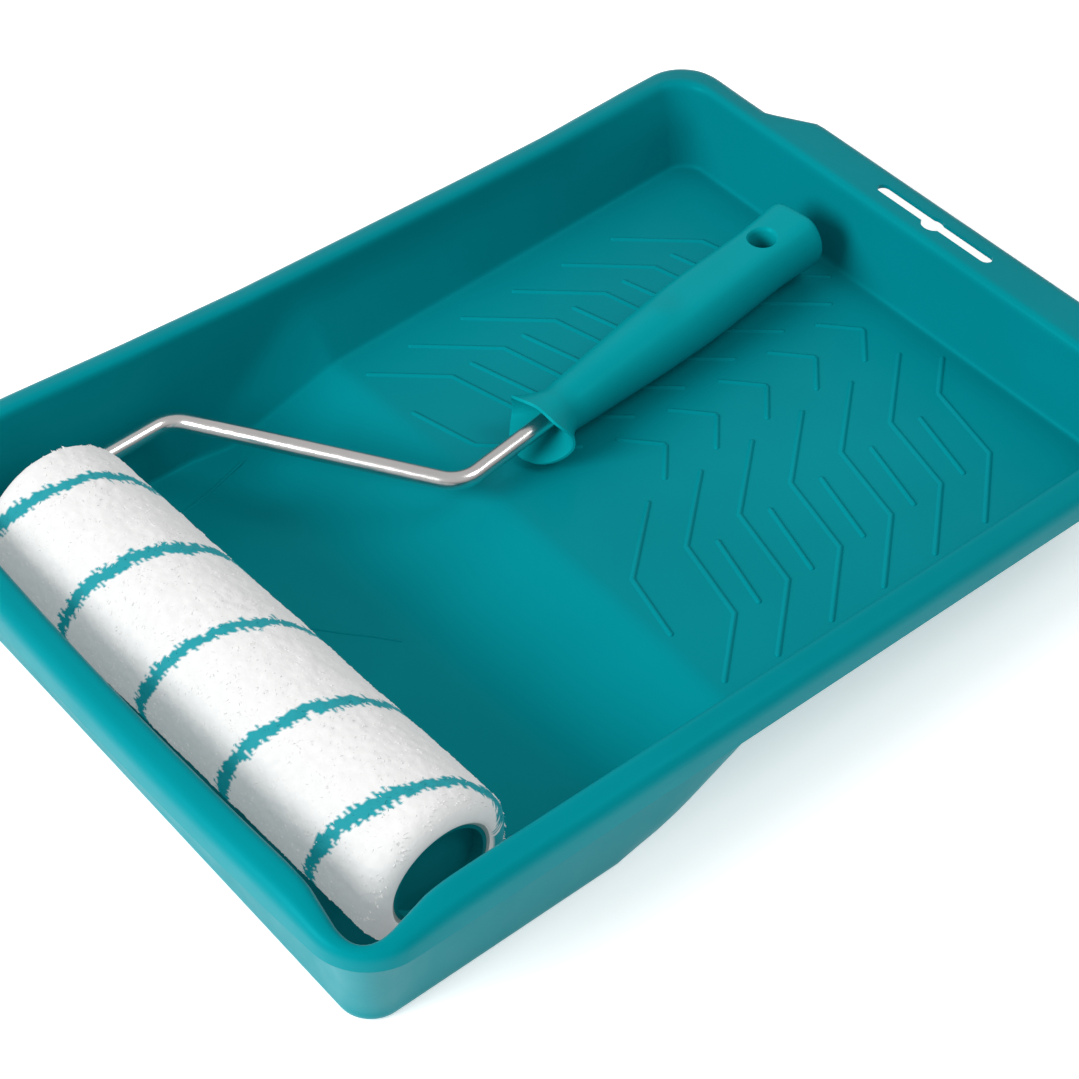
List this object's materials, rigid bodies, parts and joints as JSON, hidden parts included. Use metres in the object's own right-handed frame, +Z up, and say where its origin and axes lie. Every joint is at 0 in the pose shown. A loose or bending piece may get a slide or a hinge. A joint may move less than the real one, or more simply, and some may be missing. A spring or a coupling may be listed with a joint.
{
  "type": "paint roller tray",
  "caption": "Deep-well paint tray with a ribbed ramp and a slotted grip, and a plush roller on a bent-wire frame resting in the well.",
  "frame": {"origin": "centre of the footprint on the surface that the tray stands on", "axes": "+Y from the deep end to the shallow end, +Z up, +X to the right seen from the deep end"},
  "size_m": [0.318, 0.458, 0.0726],
  "materials": {
    "tray_plastic": "moulded satin",
    "handle_plastic": "moulded satin",
    "cap_plastic": "moulded",
    "wire_chrome": "bright plated",
    "spring_steel": "satin",
    "collar_plastic": "matte",
    "core_tube": "matte",
    "plush_pile": "plush pile with a woven-in stripe"
  },
  "bodies": {
    "tray_body": {"tray": "tray_plastic"},
    "roller_frame": {"frame_wire": "wire_chrome", "handle": "handle_plastic", "stop_collar": "collar_plastic", "axle_clip": "spring_steel"},
    "roller": {"inner_cap": "cap_plastic", "outer_cap": "cap_plastic", "cage_bars": "spring_steel", "cage_disc": "cap_plastic", "sleeve_core": "core_tube", "sleeve_pile": "plush_pile"}
  },
  "joints": [
    {"name": "roller_lift", "type": "slide", "parent": "tray_body", "child": "roller_frame", "axis": [0, 0, 1], "range_m": [0, 0.12]},
    {"name": "roller_spin", "type": "hinge", "parent": "roller_frame", "child": "roller", "pos_m": [0.0024, -0.1665, 0.0379], "axis": [0.9995, 0.0323, 0], "continuous": true}
  ]
}
